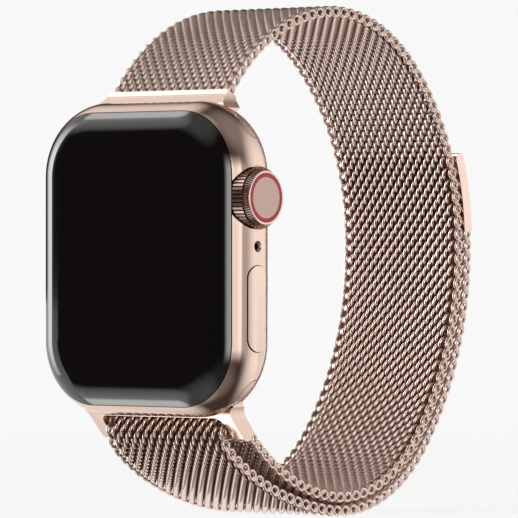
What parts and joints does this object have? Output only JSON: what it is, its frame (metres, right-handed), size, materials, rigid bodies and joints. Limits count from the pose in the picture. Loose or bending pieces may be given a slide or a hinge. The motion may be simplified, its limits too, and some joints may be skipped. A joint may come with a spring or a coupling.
{
  "type": "smartwatch",
  "caption": "Smartwatch with a rounded steel case, black glass front, red-ringed rotating crown, side button and a woven steel loop strap with a magnetic clasp.",
  "frame": {"origin": "centre of the rear crystal's outer face, where the wrist and the charger touch", "axes": "+X towards the crown, +Y from the case towards the wrist, +Z towards 12 o'clock"},
  "size_m": [0.0353, 0.0588, 0.0664],
  "materials": {
    "polished_steel": "polished, rose-gold coloured coating",
    "woven_steel": "woven wire, polished, rose-gold coloured coating",
    "front_glass": "gloss, black behind the glass",
    "rear_glass": "gloss, dark, lightly tinted",
    "rear_ceramic": "gloss dark ceramic",
    "electrode_metal": "polished",
    "seal_rubber": "matt black",
    "panel_black": "gloss",
    "cable_amber": "satin flexible circuit",
    "plate_metal": "satin",
    "screw_steel": "satin",
    "battery_wrap": "matt wrapped cell",
    "board_green": "satin solder mask",
    "part_black": "matt moulded",
    "part_gold": "satin plated",
    "coil_copper": "enamelled wire",
    "crown_red": "gloss enamel",
    "crown_disc": "gloss, tinted",
    "magnet_metal": "plated"
  },
  "bodies": {
    "case": {"case_shell": "polished_steel", "front_crystal": "front_glass", "front_gasket": "seal_rubber", "display_panel": "panel_black", "display_cable": "cable_amber", "midplate": "plate_metal", "plate_screws": "screw_steel", "battery": "battery_wrap", "logic_board": "board_green", "chip_shield": "plate_metal", "haptic_motor": "plate_metal", "speaker": "part_black", "speaker_grille": "part_black", "microphone": "part_gold", "rear_cover": "rear_ceramic", "rear_crystal": "rear_glass", "sensor_ring": "electrode_metal", "optical_sensor": "board_green", "charging_coil": "coil_copper", "crown_sleeve": "screw_steel", "crown_switch": "plate_metal", "side_button_switch": "plate_metal"},
    "crown_stem": {"crown_plunger": "part_black"},
    "crown": {"crown_shaft": "screw_steel", "crown_seal": "seal_rubber", "crown_knob": "polished_steel", "crown_ring": "crown_red", "crown_cap": "crown_disc"},
    "side_button": {"side_button": "polished_steel"},
    "upper_release": {"upper_release": "polished_steel"},
    "lower_release": {"lower_release": "polished_steel"},
    "strap": {"upper_lug": "polished_steel", "upper_lug_pads": "seal_rubber", "upper_latch_spring": "screw_steel", "strap_loop": "woven_steel"},
    "upper_latch": {"upper_latch": "screw_steel"},
    "lower_lug": {"lower_lug": "polished_steel", "lower_lug_pads": "seal_rubber", "lower_latch_spring": "screw_steel"},
    "lower_latch": {"lower_latch": "screw_steel"},
    "tail_1": {"tail_1": "woven_steel"},
    "tail_2": {"tail_2": "woven_steel"},
    "tail_3": {"tail_3": "woven_steel"},
    "tail_4": {"tail_4": "woven_steel"},
    "tail_5": {"tail_5": "woven_steel", "clasp_shell": "polished_steel", "clasp_magnets": "magnet_metal", "clasp_plate": "plate_metal"}
  },
  "joints": [
    {"name": "crown_press", "type": "slide", "parent": "case", "child": "crown_stem", "axis": [-1, 0, 0], "range_m": [0, 0.00025], "stiffness_N_per_m": 1500, "springref_m": -0.0002},
    {"name": "crown_spin", "type": "hinge", "parent": "crown_stem", "child": "crown", "pos_m": [0.0171, -0.0055, 0.00765], "axis": [1, 0, 0], "continuous": true},
    {"name": "side_button_press", "type": "slide", "parent": "case", "child": "side_button", "axis": [-1, 0, 0], "range_m": [0, 0.00025], "stiffness_N_per_m": 1500, "springref_m": -0.0002},
    {"name": "upper_release_press", "type": "slide", "parent": "case", "child": "upper_release", "axis": [0, -1, 0], "range_m": [0, 0.00045], "stiffness_N_per_m": 500, "springref_m": -0.0003},
    {"name": "lower_release_press", "type": "slide", "parent": "case", "child": "lower_release", "axis": [0, -1, 0], "range_m": [0, 0.00045], "stiffness_N_per_m": 500, "springref_m": -0.0003},
    {"name": "upper_lug_slide", "type": "slide", "parent": "case", "child": "strap", "axis": [1, 0, 0], "range_m": [-0.032, 0.032]},
    {"name": "lower_lug_slide", "type": "slide", "parent": "case", "child": "lower_lug", "axis": [1, 0, 0], "range_m": [-0.032, 0.032]},
    {"name": "upper_latch_slide", "type": "slide", "parent": "strap", "child": "upper_latch", "axis": [0, -1, 0], "range_m": [0, 0.0006]},
    {"name": "lower_latch_slide", "type": "slide", "parent": "lower_lug", "child": "lower_latch", "axis": [0, -1, 0], "range_m": [0, 0.0006]},
    {"name": "tail_peel_1", "type": "hinge", "parent": "strap", "child": "tail_1", "pos_m": [0, 0.00097, -0.02663], "axis": [-1, 0, 0], "range_deg": [0, 22]},
    {"name": "tail_peel_2", "type": "hinge", "parent": "tail_1", "child": "tail_2", "pos_m": [0, 0.0139, -0.03181], "axis": [-1, 0, 0], "range_deg": [0, 28]},
    {"name": "tail_peel_3", "type": "hinge", "parent": "tail_2", "child": "tail_3", "pos_m": [0, 0.02771, -0.03167], "axis": [-1, 0, 0], "range_deg": [0, 28]},
    {"name": "tail_peel_4", "type": "hinge", "parent": "tail_3", "child": "tail_4", "pos_m": [0, 0.03881, -0.02352], "axis": [-1, 0, 0], "range_deg": [0, 28]},
    {"name": "tail_peel_5", "type": "hinge", "parent": "tail_4", "child": "tail_5", "pos_m": [0, 0.0453, -0.01119], "axis": [-1, 0, 0], "range_deg": [0, 28]}
  ],
  "couplings": [
    {"joint": "lower_lug_slide", "follows": "upper_lug_slide", "ratio": 1},
    {"joint": "upper_latch_slide", "follows": "upper_release_press", "ratio": 1},
    {"joint": "lower_latch_slide", "follows": "lower_release_press", "ratio": 1},
    {"joint": "tail_peel_2", "follows": "tail_peel_1", "ratio": 1},
    {"joint": "tail_peel_3", "follows": "tail_peel_1", "ratio": 1},
    {"joint": "tail_peel_4", "follows": "tail_peel_1", "ratio": 1},
    {"joint": "tail_peel_5", "follows": "tail_peel_1", "ratio": 1}
  ]
}
